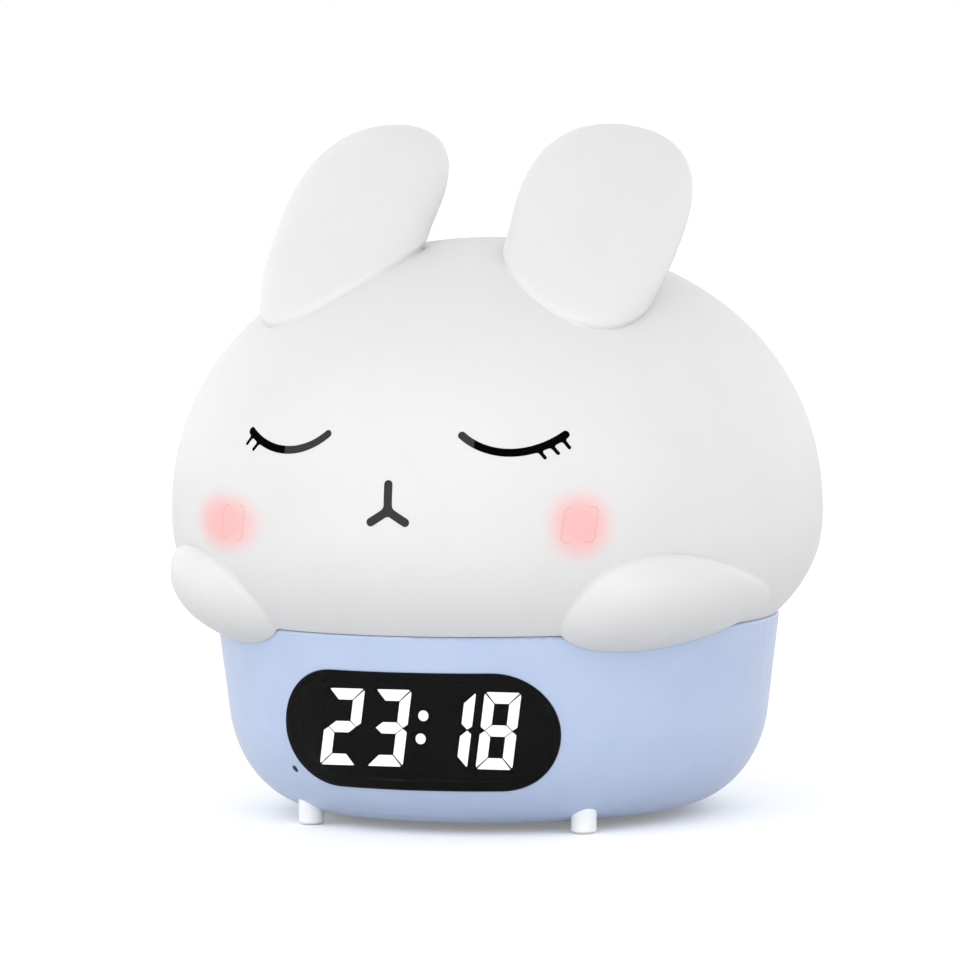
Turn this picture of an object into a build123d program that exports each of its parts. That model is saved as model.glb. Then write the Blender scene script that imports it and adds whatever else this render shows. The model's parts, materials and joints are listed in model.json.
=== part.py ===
from build123d import *
import math
import os

# Bedside alarm clock with a night light: a round plastic base holds a curved
# window, a four-digit LED display, a speaker, a rechargeable cell and a row of
# rear keys; a hollow silicone rabbit head clips over a lamp on top of the base.
# Millimetres, +Z up. The origin is on the resting plane, under the middle.
# The front (window and face) looks along -Y, the keys and inlet along +Y.

# ---------------------------------------------------------------- dimensions
# silicone head: body of revolution, superellipse above and below its equator
HEAD_R = 65.08            # equator radius
HEAD_Z = 59.90            # equator height
HEAD_UP = 54.78           # equator to crown
HEAD_LOW = 36.19          # lower semi-axis
HEAD_M = 2.162            # exponent of the meridian
SKIN = 2.6                # silicone wall
LIP_R = 51.2              # inner radius of the gripping lip
LIP_T = 2.0               # lip thickness

# ears: flattened superellipsoids, swept back
EAR_POS = (25.42, -14.47, 115.52)
EAR_SEMI = (16.92, 7.59, 30.29)     # half width, half thickness, half length
EAR_EXP = 2.84                      # end roundness
EAR_TAPER = (0.116, -0.062)
EAR_ROT = (-50.07, -1.75, 9.25)     # about X, Y, Z

# face: black lines set flush into the skin, as x, z seen from the front
INK_T = 0.3
EYE_C, EYE_R, EYE_W = (22.75, 90.0), 14.5, 1.55
EYE_A0, EYE_A1 = -129.25, -51.0     # ends of the lid arc
LASHES = (((31.45, 77.9), (32.75, 76.3)), ((29.5, 76.9), (30.95, 75.28)), ((27.6, 75.9), (28.76, 74.5)))
LASH_W = 0.58
NOSE_W = 1.66
NOSE_TOP, NOSE_FORK, NOSE_END = 69.55, 64.5, (3.47, 62.33)

# paws: drop shapes, thicker in front, that bulge over the rim of the base
PAW_ANG = 66.96           # from the front, about the vertical axis
PAW_R = 41.72             # distance of the centre from the axis
PAW_Z = 47.60
PAW_SEMI = (36.01, 21.79, 12.80)    # tangential, radial, vertical
PAW_EXP = 2.268
PAW_TAPER = (-0.156, 0.118)
PAW_ROT = (-1.54, -7.65, 6.85)      # about Y, Z, X, in the paw's own frame

# base shell: straight drafted wall running into a large soft bottom edge
BASE_TOP = 39.63          # rim height
BASE_R = 56.24            # rim radius
BASE_BOT = 1.60           # underside height, clear of the ground
DRAFT = 0.1228            # wall draft, mm per mm
KNEE_Z = 20.3             # height where the bottom edge starts to round
KNEE_A = 15.5             # horizontal run of the rounding
KNEE_N = 2.06             # its exponent
WALL = 2.2

# window in the front wall, a stadium seen from the front
WIN_HALF = 28.18
WIN_HH = 11.72
WIN_Z = 21.0
LENS_PROUD = 0.35
LENS_T = 1.5
TAPE_T = 0.2
LEDGE = 1.8

# LED display
DISP_FACE = -45.3         # y of the front face
DISP_T = 6.8
DISP_HALF = 20.9
DISP_Z0, DISP_Z1 = 12.3, 29.7
DIG_W, DIG_H, SEG_T = 7.47, 15.0, 2.2
DIG_Z = 13.3              # foot of the digits
DIG_SLANT = 7.8           # degrees
DIG_RIGHT = (-12.05, -2.42, 10.76, 19.99)   # top right corner of each digit
DIG_TEXT = ("abged", "abgcd", "bc", "abcdefg")  # lit bars of 2, 3, 1, 8
SEG_DEPTH = 0.5

# sound port, low on the left of the window
PORT_X, PORT_Z, PORT_D = -27.41, 12.0, 1.6

# rear keys and ports
KEY_X = (-19.5, -6.5, 6.5, 19.5)
KEY_NAMES = ("alarm_button", "down_button", "up_button", "set_button")
KEY_Z = 29.5
KEY_R = 4.0
KEY_GAP = 0.2
KEY_PROUD = 0.6
KEY_TRAVEL = 0.3
PORTS_Z = 16.5
USB_W, USB_H = 8.94, 3.26
SW_X = 15.0               # slider centre when off
SW_TRAVEL = 2.0

# underside
COVER_R = 29.9
COVER_T = 2.0
COVER_SCREW_R = 27.0
COVER_OPEN = 24.0         # opening above the cover
FOOT_R = 2.5
FOOT_PCR = 43.0           # distance of the feet from the axis
FOOT_ANG = 41.0           # from the front and from the back
GRILLE_D, GRILLE_P, GRILLE_R = 2.0, 3.3, 13.0

# lamp
DECK_R = 53.4
DECK_Z = 37.0
DECK_T = 2.2
DECK_SCREWS = ((42.4, -12.0), (-42.4, -12.0), (42.4, 10.0), (-42.4, 10.0))
DIFF_R, DIFF_UP, DIFF_LOW, DIFF_Z, DIFF_T = 44.0, 38.0, 35.25, 62.0, 1.6

# cell: standard 18650
CELL_R, CELL_L, WRAP_T = 9.05, 65.0, 0.15
CELL_Y, CELL_Z = 26.6, 17.0

BOARD_T = 1.6

os.makedirs("parts", exist_ok=True)
written = []


def put(name, shape):
    """Write one named piece."""
    export_step(shape, f"parts/{name}.step")
    written.append(name)


def group(items):
    return Compound(children=list(items)) if len(items) > 1 else items[0]


# ------------------------------------------------------------------- helpers
def cyl(r, p0, p1):
    """Cylinder between two points."""
    a, b = Vector(*p0), Vector(*p1)
    d = b - a
    pl = Plane(origin=a, z_dir=d.normalized())
    return extrude(pl * Circle(r), amount=d.length)


def block(x0, x1, y0, y1, z0, z1):
    return Pos((x0 + x1) / 2, (y0 + y1) / 2, (z0 + z1) / 2) * Box(x1 - x0, y1 - y0, z1 - z0)


def ring(r0, r1, z0, z1):
    return cyl(r1, (0, 0, z0), (0, 0, z1)) - cyl(r0, (0, 0, z0 - 1), (0, 0, z1 + 1))


def spin(edges):
    """Revolve a closed outline, drawn in x (radius) and z, about the axis."""
    return revolve(make_face(Wire(edges)), Axis.Z)


def pt(r, z):
    return Vector(r, 0, z)


def poly_spin(points):
    pts = [pt(*p) for p in points]
    return spin([Line(pts[i], pts[(i + 1) % len(pts)]) for i in range(len(pts))])


def super_pts(R, cu, zc, z_lo, m, n_up=10, c_low=None, n_low=6):
    """Meridian points from the crown to z_lo."""
    out = []
    for i in range(n_up + 1):
        ph = math.pi / 2 * (1 - i / n_up)
        out.append((R * math.cos(ph) ** (2 / m) if i else 0.0, zc + cu * math.sin(ph) ** (2 / m)))
    if c_low:
        ph_end = math.asin(((zc - z_lo) / c_low) ** (m / 2))
        for i in range(1, n_low + 1):
            ph = ph_end * i / n_low
            out.append((R * math.cos(ph) ** (2 / m), zc - c_low * math.sin(ph) ** (2 / m)))
    return out


def dome(R, cu, zc, z_lo, m, c_low):
    """Solid dome of revolution, flat at z_lo."""
    p = [pt(*q) for q in super_pts(R, cu, zc, z_lo, m, c_low=c_low)]
    end = (p[-1] - p[-2]).normalized()
    curve = Spline(*p, tangents=[Vector(1, 0, 0), end])
    return spin([curve, Line(p[-1], pt(0, z_lo)), Line(pt(0, z_lo), p[0])])


def base_r(z):
    """Outer radius of the base at height z."""
    t = min(max((KNEE_Z - z) / (KNEE_Z - BASE_BOT), 0.0), 1.0)
    return BASE_R - DRAFT * (BASE_TOP - z) - KNEE_A * (1 - (1 - t ** KNEE_N) ** (1 / KNEE_N))


def base_curve(off):
    """Points (r, z) of the rounded edge, moved inwards by off along its normal."""
    out = []
    n = 16
    for i in range(n + 1):
        ph = math.pi / 2 * (1 - i / n)
        t, c = math.sin(ph) ** (2 / KNEE_N), math.cos(ph) ** (2 / KNEE_N) if i else 0.0
        z = KNEE_Z - t * (KNEE_Z - BASE_BOT)
        r = BASE_R - DRAFT * (BASE_TOP - z) - KNEE_A * (1 - c)
        if i == 0:
            nr, nz = 0.0, -1.0
        else:
            s = DRAFT + KNEE_A / (KNEE_Z - BASE_BOT) * t ** (KNEE_N - 1) * c ** (1 - KNEE_N) if t > 0 else DRAFT
            k = math.hypot(1, s)
            nr, nz = 1 / k, -s / k
        out.append((r - off * nr, z - off * nz))
    return out


def base_solid(off, top, rim=0.0):
    """The base as a full solid, offset inwards by off, up to height top, with a rounded rim."""
    c = [pt(*q) for q in base_curve(off)]
    k = math.hypot(1, DRAFT)
    wall_r = lambda z: BASE_R - DRAFT * (BASE_TOP - z) - off * k
    zb = BASE_BOT + off
    up = Vector(DRAFT, 0, 1).normalized()
    curve = Spline(*c, tangents=[Vector(1, 0, 0), up])
    if rim:
        a, b = pt(wall_r(top - rim), top - rim), pt(wall_r(top) - rim, top)
        side = [Line(c[-1], a), TangentArc(a, b, tangent=up), Line(b, pt(0, top))]
    else:
        side = [Line(c[-1], pt(wall_r(top), top)), Line(pt(wall_r(top), top), pt(0, top))]
    return spin([Line(pt(0, zb), c[0]), curve] + side + [Line(pt(0, top), pt(0, zb))])


def window(half, hh):
    """Stadium prism through the front wall."""
    pl = Plane(origin=(0, -20, WIN_Z), x_dir=(1, 0, 0), z_dir=(0, -1, 0))
    return extrude(pl * SlotOverall(2 * half, 2 * hh), amount=50)


def slot_y(x, z, w, h, y0, y1):
    """Stadium prism along Y."""
    pl = Plane(origin=(x, y0, z), x_dir=(-1, 0, 0), z_dir=(0, 1, 0))
    return extrude(pl * SlotOverall(w, h), amount=y1 - y0)


def screw(head_at, tip_at, head_r, head_t, shank_r):
    """Pan head screw; head_at is under the head."""
    a, b = Vector(*head_at), Vector(*tip_at)
    d = (b - a).normalized()
    pl = Plane(origin=a - d * head_t, z_dir=d)
    head = extrude(pl * Circle(head_r), amount=head_t)
    head = fillet(head.edges().filter_by(GeomType.CIRCLE).sort_by(lambda e: (e.center() - a).dot(d))[0], head_t * 0.45)
    for ang in (0, 90):
        head -= pl * Rot(0, 0, ang) * Pos(0, 0, head_t * 0.2) * Box(head_r * 1.15, head_r * 0.24, head_t * 0.8)
    return head + cyl(shank_r, a, b)


def lead(points, r):
    """Round wire along straight runs joined by arcs as wide as the runs allow."""
    pts = [Vector(*p) for p in points]
    radii = []
    for i in range(1, len(pts) - 1):
        u, v = pts[i] - pts[i - 1], pts[i + 1] - pts[i]
        turn = math.radians(u.get_angle(v))
        radii.append(0.45 * min(u.length, v.length) / math.tan(turn / 2))
    print("lead radii", [round(q, 1) for q in radii])
    path = FilletPolyline(*pts, radius=radii)
    d = (pts[1] - pts[0]).normalized()
    return sweep(Plane(origin=pts[0], z_dir=d) * Circle(r), path=path)


# ---------------------------------------------------------------- base shell
outer = base_solid(0.0, BASE_TOP)
shell = base_solid(0.0, BASE_TOP, rim=0.6) - base_solid(WALL, BASE_TOP + 1)

# underside opening with a ledge for the cover, and its screw bosses
shell += ring(COVER_OPEN, 34.0, BASE_BOT + COVER_T + 0.1, BASE_BOT + COVER_T + 2.1)
cover_top = BASE_BOT + COVER_T
cover_pts = [(COVER_SCREW_R * math.cos(math.radians(a)), COVER_SCREW_R * math.sin(math.radians(a))) for a in (45, 135, 225, 315)]
for x, y in cover_pts:
    shell += cyl(2.9, (x, y, cover_top + 0.5), (x, y, 8.4))
shell -= cyl(COVER_R + 0.3, (0, 0, 0), (0, 0, cover_top + 0.1))
shell -= cyl(COVER_OPEN, (0, 0, 0), (0, 0, 6.0))
for x, y in cover_pts:
    shell -= cyl(1.3, (x, y, cover_top), (x, y, 7.9))

# saddles for the cell
for x in (-26.0, 26.0):
    rib = block(x - 1, x + 1, 15.5, 38.0, 3.6, 13.0) & base_solid(1.0, 30)
    shell += rib - cyl(25.0, (0, 0, 0), (0, 0, 20)) - cyl(CELL_R + WRAP_T + 0.1, (-40, CELL_Y, CELL_Z), (40, CELL_Y, CELL_Z))
for x, y in cover_pts:
    shell -= cyl(1.3, (x, y, cover_top), (x, y, 7.9))

# bosses for the deck
for x, y in DECK_SCREWS:
    shell += (cyl(3.5, (x, y, 2.5), (x, y, DECK_Z)) & base_solid(1.0, BASE_TOP)) - cyl(1.3, (x, y, DECK_Z - 9), (x, y, DECK_Z + 1))

# posts for the display board
DISP_POSTS = ((-24.6, 28.6), (24.6, 28.6))
DB_Y = DISP_FACE + DISP_T            # front face of the display board
for x, z in DISP_POSTS:
    shell += (cyl(2.2, (x, DB_Y, z), (x, -50, z)) & base_solid(1.6, BASE_TOP)) - cyl(1.0, (x, DB_Y + 1, z), (x, DB_Y - 6, z))

# posts for the key board
KB_Y0, KB_Y1 = 39.4, 41.0
KEY_POSTS = ((-13.0, 22.8), (13.0, 22.8))
for x, z in KEY_POSTS:
    shell += (cyl(2.5, (x, KB_Y1, z), (x, 56, z)) & base_solid(1.0, BASE_TOP)) - cyl(1.0, (x, KB_Y1 - 1, z), (x, KB_Y1 + 6, z))

# window: recess for the pane and the opening behind it
shell -= window(WIN_HALF, WIN_HH) - base_solid(LENS_T - LENS_PROUD + TAPE_T, BASE_TOP + 1)
shell -= window(WIN_HALF - LEDGE, WIN_HH - LEDGE)

# rear keys, inlet and switch slot
for x in KEY_X:
    shell -= cyl(KEY_R + KEY_GAP, (x, 30, KEY_Z), (x, 70, KEY_Z))
shell += (block(-8.8, 8.8, 47.2, 56, PORTS_Z - 5.0, PORTS_Z + 5.0) & base_solid(0.5, BASE_TOP))
shell -= slot_y(0, PORTS_Z, 12.8, 7.2, 50.0, 60)
shell -= slot_y(0, PORTS_Z, USB_W + 0.3, USB_H + 0.3, 40, 60)
shell -= block(SW_X - 1.9, SW_X + SW_TRAVEL + 1.9, 44, 60, PORTS_Z - 1.4, PORTS_Z + 1.4)

# sound port, square to the surface
t_p = (KNEE_Z - PORT_Z) / (KNEE_Z - BASE_BOT)
s_p = DRAFT + KNEE_A / (KNEE_Z - BASE_BOT) * t_p ** (KNEE_N - 1) * (1 - t_p ** KNEE_N) ** (1 / KNEE_N - 1)
r_p = base_r(PORT_Z)
y_p = -math.sqrt(r_p ** 2 - PORT_X ** 2)
n_p = Vector(PORT_X / r_p, y_p / r_p, -s_p).normalized()
P_p = Vector(PORT_X, y_p, PORT_Z)
shell -= cyl(PORT_D / 2, P_p + n_p * 2, P_p - n_p * 4)

# feet sockets
foot_pts = {}
for name, sx, sy in (("foot_front_right", 1, -1), ("foot_front_left", -1, -1), ("foot_rear_right", 1, 1), ("foot_rear_left", -1, 1)):
    foot_pts[name] = (sx * FOOT_PCR * math.sin(math.radians(FOOT_ANG)), sy * FOOT_PCR * math.cos(math.radians(FOOT_ANG)))
for x, y in foot_pts.values():
    shell -= cyl(1.6, (x, y, 0), (x, y, 8))
put("base_shell", shell)

# ---------------------------------------------------------------------- feet
for name, (x, y) in foot_pts.items():
    pad = cyl(FOOT_R, (x, y, 0), (x, y, 9))
    pad = chamfer(pad.edges().group_by(Axis.Z)[0], 0.4)
    pad = pad - outer
    put(name, pad + cyl(1.5, (x, y, 0.5), (x, y, 7.0)))

# -------------------------------------------------------------- bottom cover
cover = cyl(COVER_R, (0, 0, BASE_BOT), (0, 0, cover_top))
cover = fillet(cover.edges().group_by(Axis.Z)[0], 0.3)
cover += ring(18.2, 19.8, cover_top - 0.5, 7.5)
holes = []
n = int(GRILLE_R / GRILLE_P) + 2
for i in range(-n, n + 1):
    for j in range(-n, n + 1):
        gx, gy = GRILLE_P * (i + j / 2), GRILLE_P * j * math.sqrt(3) / 2
        if math.hypot(gx, gy) <= GRILLE_R:
            holes.append(Pos(gx, gy) * Circle(GRILLE_D / 2))
cover -= extrude(Sketch() + holes, amount=10)
for x, y in cover_pts:
    cover -= cyl(1.45, (x, y, 0), (x, y, 4)) + cyl(2.3, (x, y, 0), (x, y, BASE_BOT + 1.2))
put("bottom_cover", cover)
put("bottom_screws", group([screw((x, y, BASE_BOT + 1.2), (x, y, 7.4), 2.05, 1.1, 1.2) for x, y in cover_pts]))

# ------------------------------------------------------------------- speaker
put("speaker_gasket", ring(15.6, 18.0, cover_top, 3.9))
put("speaker_frame", poly_spin([(15.0, 3.9), (18.0, 3.9), (18.0, 4.7), (15.7, 4.7), (10.3, 8.0), (3.0, 8.0), (3.0, 7.4), (9.9, 7.4), (15.0, 4.35)]))
put("speaker_cone", poly_spin([(14.9, 3.95), (14.9, 4.2), (12.9, 4.2), (5.6, 6.6), (3.5, 5.9), (0, 5.4), (0, 5.15), (3.6, 5.6), (5.6, 6.3), (12.8, 3.95)]))
put("speaker_magnet", cyl(8.5, (0, 0, 8.0), (0, 0, 11.2)))

# ---------------------------------------------------------- window and gasket
pane = window(WIN_HALF - 0.1, WIN_HH - 0.1) & (base_solid(-LENS_PROUD, BASE_TOP) - base_solid(LENS_T - LENS_PROUD, BASE_TOP + 1))
put("display_lens", pane)
tape = (window(WIN_HALF - 0.3, WIN_HH - 0.3) - window(WIN_HALF - LEDGE + 0.1, WIN_HH - LEDGE + 0.1)) & \
    (base_solid(LENS_T - LENS_PROUD + 0.01, BASE_TOP) - base_solid(LENS_T - LENS_PROUD + TAPE_T - 0.01, BASE_TOP + 1))
put("lens_tape", tape)


# ------------------------------------------------------------------- display
def bars(x_right):
    """The seven bars of one digit, as (name, outline) in x and z."""
    W, H, T, d, c = DIG_W, DIG_H, SEG_T, 0.13, 0.75
    h = H / 2
    a = [(c, H), (W - c, H), (W - 0.42, H - 0.07), (W - 0.24 - d, H - 0.24 + d), (W - T - d, H - T), (T + d, H - T), (0.24 + d, H - 0.24 + d), (0.42, H - 0.07)]
    b = [(W - 0.24 + d * 0.6, H - 0.24 - d), (W - 0.07, H - 0.42), (W, H - c), (W, h + 0.75), (W - 0.9, h + 0.1), (W - T, h + T / 2 + d), (W - T, H - T - d)]
    g = [(1.0, h), (T + d, h + T / 2), (W - T - d, h + T / 2), (W - 1.0, h), (W - T - d, h - T / 2), (T + d, h - T / 2)]
    flip = lambda q: [(x, H - z) for x, z in q]
    mirror_ = lambda q: [(W - x, z) for x, z in q]
    out = {"a": a, "b": b, "c": flip(b), "d": flip(a), "e": flip(mirror_(b)), "f": mirror_(b), "g": g}
    k = math.tan(math.radians(DIG_SLANT))
    x0 = x_right - W - k * H
    return {n_: [(x0 + x + k * z, DIG_Z + z) for x, z in q] for n_, q in out.items()}


def bar_solid(q):
    pts = [Vector(x, DISP_FACE, z) for x, z in q]
    face = make_face(Wire([Line(pts[i], pts[(i + 1) % len(pts)]) for i in range(len(pts))]))
    return extrude(face, amount=SEG_DEPTH, dir=(0, 1, 0))


lit, dark = [], []
for x_right, text in zip(DIG_RIGHT, DIG_TEXT):
    for n_, q in bars(x_right).items():
        (lit if n_ in text else dark).append(bar_solid(q))
for x, z in ((-0.1, 23.35), (-0.7, 18.85)):
    lit.append(cyl(1.04, (x, DISP_FACE, z), (x, DISP_FACE + SEG_DEPTH, z)))
housing = block(-DISP_HALF, DISP_HALF, DISP_FACE, DB_Y, DISP_Z0, DISP_Z1)
housing = chamfer(housing.edges().filter_by(Axis.Y), 2.2)
for q in lit + dark:
    housing -= q
put("display_housing", housing)
put("digit_bars_lit", group(lit))
put("digit_bars_dark", group(dark))
db = block(-21.3, 21.3, DB_Y, DB_Y + 1.2, DISP_Z0, 31.6) + block(-27.4, 27.4, DB_Y, DB_Y + 1.2, 25.4, 31.6)
for x, z in DISP_POSTS:
    db -= cyl(1.15, (x, DB_Y - 1, z), (x, DB_Y + 3, z))
put("display_board", db)
put("display_screws", group([screw((x, DB_Y + 1.2, z), (x, DB_Y - 5.5, z), 1.9, 1.2, 0.95) for x, z in DISP_POSTS]))

# ---------------------------------------------------------------- microphone
mic0, mic1, mic2 = P_p - n_p * (WALL + 0.12), P_p - n_p * (WALL + 0.9), P_p - n_p * (WALL + 2.5)
boot_cut = base_solid(WALL + 0.1, BASE_TOP)
put("mic_boot", (cyl(2.9, mic0 + n_p, mic2) & boot_cut) - cyl(0.7, mic0 + n_p * 3, mic2) - cyl(2.05, mic1, mic2 - n_p))
put("microphone", cyl(2.0, mic1 - n_p * 0.05, mic2 - n_p * 0.2))

# ------------------------------------------------------- key board and its keys
kb = block(-24.0, 24.0, KB_Y0, KB_Y1, 12.6, 34.0)
kb = chamfer(kb.edges().filter_by(Axis.Y), 2.0)
for x, z in KEY_POSTS:
    kb -= cyl(1.15, (x, KB_Y0 - 1, z), (x, KB_Y1 + 1, z))
put("key_board", kb)
put("key_board_screws", group([screw((x, KB_Y0, z), (x, KB_Y1 + 5.4, z), 1.9, 1.2, 0.95) for x, z in KEY_POSTS]))
tacts = []
for x in KEY_X:
    tact = block(x - 3, x + 3, KB_Y1, KB_Y1 + 3.5, KEY_Z - 3, KEY_Z + 3)
    tact = chamfer(tact.edges().filter_by(Axis.Y), 0.4)
    tacts.append(tact - cyl(1.85, (x, KB_Y1 + 0.8, KEY_Z), (x, KB_Y1 + 5, KEY_Z)))
put("tact_switches", group(tacts))
skin_out, skin_in0, skin_in1 = base_solid(-KEY_PROUD, BASE_TOP + 1), base_solid(WALL + 0.12, BASE_TOP + 1), base_solid(WALL + 1.1, BASE_TOP + 2)
for name, x in zip(KEY_NAMES, KEY_X):
    cap = (cyl(KEY_R, (x, 30, KEY_Z), (x, 70, KEY_Z)) & skin_out) - skin_in1
    flange = (cyl(KEY_R + 1.1, (x, 30, KEY_Z), (x, 70, KEY_Z)) & skin_in0) - skin_in1
    cap = fillet(max(cap.edges(), key=lambda e: e.center().Y if e.length > 20 else -99), 0.45)
    key = cap + flange + (cyl(1.6, (x, KB_Y1 + 4.55, KEY_Z), (x, 60, KEY_Z)) & skin_out)
    put(name, key)
    put(name.replace("button", "plunger"), cyl(1.75, (x, KB_Y1 + 1.3, KEY_Z), (x, KB_Y1 + 4.5, KEY_Z)))

# --------------------------------------------------------------- USB-C inlet
sock = slot_y(0, PORTS_Z, USB_W, USB_H, KB_Y1, 49.7) - slot_y(0, PORTS_Z, USB_W - 0.6, USB_H - 0.6, KB_Y1 + 2.2, 50)
put("usb_c_socket", sock)
put("usb_c_tongue", block(-3.35, 3.35, KB_Y1 + 2.2, 48.9, PORTS_Z - 0.35, PORTS_Z + 0.35))

# -------------------------------------------------------------- power switch
mid = SW_X + SW_TRAVEL / 2
sw = block(mid - 4.3, mid + 4.3, KB_Y1, KB_Y1 + 3.6, PORTS_Z - 1.9, PORTS_Z + 1.9)
sw -= block(mid - 3.4, mid + 3.4, KB_Y1 + 0.9, KB_Y1 + 2.9, PORTS_Z - 1.2, PORTS_Z + 1.2)
sw -= block(mid - 2.4, mid + 2.4, KB_Y1 + 2, KB_Y1 + 4, PORTS_Z - 0.9, PORTS_Z + 0.9)
put("power_switch_housing", sw)
knob = block(SW_X - 1.7, SW_X + 1.7, KB_Y1 + 1.0, KB_Y1 + 2.8, PORTS_Z - 1.1, PORTS_Z + 1.1)
knob += block(SW_X - 1.0, SW_X + 1.0, KB_Y1 + 2.5, 49.0, PORTS_Z - 0.8, PORTS_Z + 0.8)
tip = block(SW_X - 1.5, SW_X + 1.5, 48.2, 51.0, PORTS_Z - 1.15, PORTS_Z + 1.15)
tip = chamfer(tip.faces().sort_by(Axis.Y)[-1].edges(), 0.3)
for dx in (-0.8, 0.0, 0.8):
    tip -= block(SW_X + dx - 0.15, SW_X + dx + 0.15, 50.75, 52, PORTS_Z - 2, PORTS_Z + 2)
put("power_slider", knob + tip)

# ---------------------------------------------------------------------- cell
ax = lambda x: (x, CELL_Y, CELL_Z)
put("battery_cell", cyl(CELL_R, ax(-CELL_L / 2), ax(CELL_L / 2 - 0.8)) + cyl(3.0, ax(0), ax(CELL_L / 2)))
put("battery_wrap", cyl(CELL_R + WRAP_T, ax(-CELL_L / 2 + 0.3), ax(CELL_L / 2 - 1.2)) - cyl(CELL_R + 0.01, ax(-40), ax(40)))
pad = block(-14, 14, 21.4, 31.8, 22.5, 30.9) - cyl(CELL_R + WRAP_T + 0.02, ax(-40), ax(40))
put("battery_pad", pad)

# ---------------------------------------------------------------- main board
MB0, MB1 = 31.0, 32.6
mb = block(-30, 30, -33, 33, MB0, MB1)
mb = chamfer(mb.edges().filter_by(Axis.Z), 4.0)
MB_SCREWS = ((25.0, 25.5), (-25.0, 25.5), (25.0, -25.5), (-25.0, -25.5))
for x, y in MB_SCREWS:
    mb -= cyl(1.2, (x, y, 30), (x, y, 34))
put("main_board", mb)
put("main_board_screws", group([screw((x, y, MB0), (x, y, 37.6), 1.9, 1.2, 0.95) for x, y in MB_SCREWS]))
chips = [block(-17, -7, -15, -5, MB1, MB1 + 1.2), block(5, 11, -14, -9, MB1, MB1 + 1.5), block(12, 17, 12, 18, MB1, MB1 + 1.5),
         block(-16, -11, 8, 12, MB1, MB1 + 1.3), block(16, 20, -4, 0, MB1, MB1 + 1.2)]
put("board_chips", group(chips))
cans = [cyl(2.5, (x, y, MB1), (x, y, MB1 + 3.9)) for x, y in ((-22, 0), (20, 6), (-4, -20))]
cans += [block(6, 12, 2, 8, MB1, MB1 + 3.0), block(-6, -2, -13, -8, MB1, MB1 + 1.1)]
put("board_components", group(cans))
conns = [block(24, 29.5, 8, 16, MB0 - 4.5, MB0), block(1.0, 8.0, -24.5, -18.5, MB0 - 4.5, MB0)]
put("board_connectors", group(conns))

# -------------------------------------------------------------------- wiring
put("battery_lead_red", lead([(32.52, 26.6, 17.8), (36.4, 26.6, 17.8), (39.2, 23.4, 22.0), (37.6, 17.4, 26.6), (34.4, 13.6, 28.8), (29.52, 13.6, 28.8)], 0.6))
put("battery_lead_black", lead([(32.52, 26.6, 15.8), (37.0, 26.6, 15.8), (40.6, 22.6, 19.6), (39.4, 15.2, 25.4), (35.0, 10.6, 28.6), (29.52, 10.6, 28.6)], 0.6))
put("speaker_leads", group([lead([(x, -16.6, 4.75), (x, -16.9, 11.0), (x + 1.2, -19.6, 18.0), (x + 2.4, -21.4, 24.0), (x + 2.4, -21.5, MB0 - 4.5)], 0.5) for x in (0.6, 3.0)]))
put("lamp_leads", group([cyl(0.6, (x, 0, MB1), (x, 0, 41.2)) for x in (-1.6, 0.0, 1.6)]))


def ribbon(points, w):
    """Flat ribbon cable, bent in the YZ plane."""
    pts = [Vector(0, y, z) for y, z in points]
    radii = []
    for i in range(1, len(pts) - 1):
        u, v = pts[i] - pts[i - 1], pts[i + 1] - pts[i]
        radii.append(0.45 * min(u.length, v.length) / math.tan(math.radians(u.get_angle(v)) / 2))
    path = FilletPolyline(*pts, radius=radii)
    return sweep(Plane(origin=pts[0], x_dir=(1, 0, 0), z_dir=(pts[1] - pts[0]).normalized()) * Rectangle(w, 0.6), path=path)


put("display_ribbon", ribbon([(DB_Y + 1.22, 22.0), (-34.6, 22.0), (-31.0, 24.0), (-29.4, 27.4), (-29.4, MB0 - 0.02)], 14))
put("key_ribbon", ribbon([(KB_Y0 - 0.02, 32.6), (36.6, 32.6), (34.4, 34.9), (30.4, 35.3), (29.6, 34.6), (29.6, MB1 + 0.02)], 12))

# ---------------------------------------------------------------------- deck
deck_top = DECK_Z + DECK_T
deck = cyl(DECK_R, (0, 0, DECK_Z), (0, 0, deck_top))
deck += poly_spin([(48.6, deck_top - 0.5), (50.6, deck_top - 0.5), (50.6, 42.0), (52.6, 42.2), (52.6, 43.2), (51.0, 44.6), (48.6, 44.6)])
for x, y in MB_SCREWS:
    deck += cyl(2.6, (x, y, MB1), (x, y, DECK_Z + 0.5))
LB_POSTS = [(26.0 * math.cos(math.radians(a)), 26.0 * math.sin(math.radians(a))) for a in (30, 150, 270)]
for x, y in LB_POSTS:
    deck += cyl(2.8, (x, y, deck_top - 0.5), (x, y, 41.2))
deck -= cyl(4.0, (0, 0, 30), (0, 0, 50))
for x, y in DECK_SCREWS:
    deck -= cyl(1.7, (x, y, 30), (x, y, 50))
for x, y in MB_SCREWS:
    deck -= cyl(1.0, (x, y, 30), (x, y, 38.2))
for x, y in LB_POSTS:
    deck -= cyl(1.0, (x, y, 37.8), (x, y, 50))
DIFF_PTS = [(37.0 * math.cos(math.radians(a)), 37.0 * math.sin(math.radians(a))) for a in (90, 210, 330)]
for x, y in DIFF_PTS:
    deck -= cyl(1.0, (x, y, 37.6), (x, y, 50))
put("deck", deck)
put("deck_screws", group([screw((x, y, deck_top), (x, y, 29.5), 2.8, 1.9, 1.2) for x, y in DECK_SCREWS]))

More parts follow.
